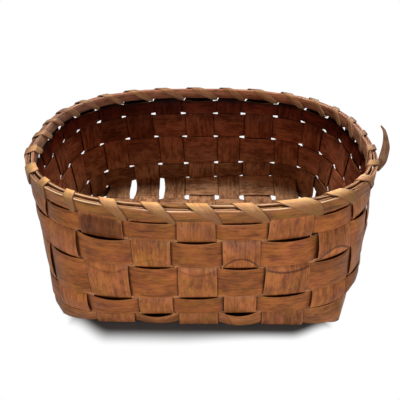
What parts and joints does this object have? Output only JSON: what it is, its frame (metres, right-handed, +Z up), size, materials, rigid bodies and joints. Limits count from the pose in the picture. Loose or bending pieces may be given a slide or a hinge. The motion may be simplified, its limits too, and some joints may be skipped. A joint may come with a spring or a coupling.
{
  "type": "basket",
  "caption": "Oblong open basket woven over and under from wide flat wood splints, with rounded corners and a hooped rim bound by a thin spiral splint.",
  "frame": {"origin": "on the floor plane under the middle of the base, at the middle crossing's lower face", "axes": "+X along the basket's length, +Y to its back, +Z up; the loose end of the lashing stands at +X"},
  "size_m": [0.2929, 0.2298, 0.1452],
  "materials": {
    "cross_splint": "aged splint, grain along the strip, satin",
    "long_splint": "aged splint, grain along the strip, satin",
    "weaver": "aged splint, grain along the strip, satin",
    "rim_hoop": "aged bent wood, satin",
    "rim_filler": "aged bent wood, matt",
    "rim_lashing": "thin pale splint, satin"
  },
  "bodies": {
    "root": {"cross_splint_1": "cross_splint", "cross_splint_2": "cross_splint", "cross_splint_3": "cross_splint", "cross_splint_4": "cross_splint", "cross_splint_5": "cross_splint", "cross_splint_6": "cross_splint", "cross_splint_7": "cross_splint", "long_splint_1": "long_splint", "long_splint_2": "long_splint", "long_splint_3": "long_splint", "long_splint_4": "long_splint", "long_splint_5": "long_splint", "long_splint_6": "long_splint", "long_splint_7": "long_splint", "long_splint_7_broken_end": "long_splint", "weaver_1_foot": "weaver", "weaver_2_lower": "weaver", "weaver_3_upper": "weaver", "weaver_4_top": "weaver", "rim_hoop_outer": "rim_hoop", "rim_hoop_inner": "rim_hoop", "rim_filler_strip": "rim_filler", "rim_lashing_back": "rim_lashing", "rim_lashing_front": "rim_lashing"}
  },
  "joints": []
}
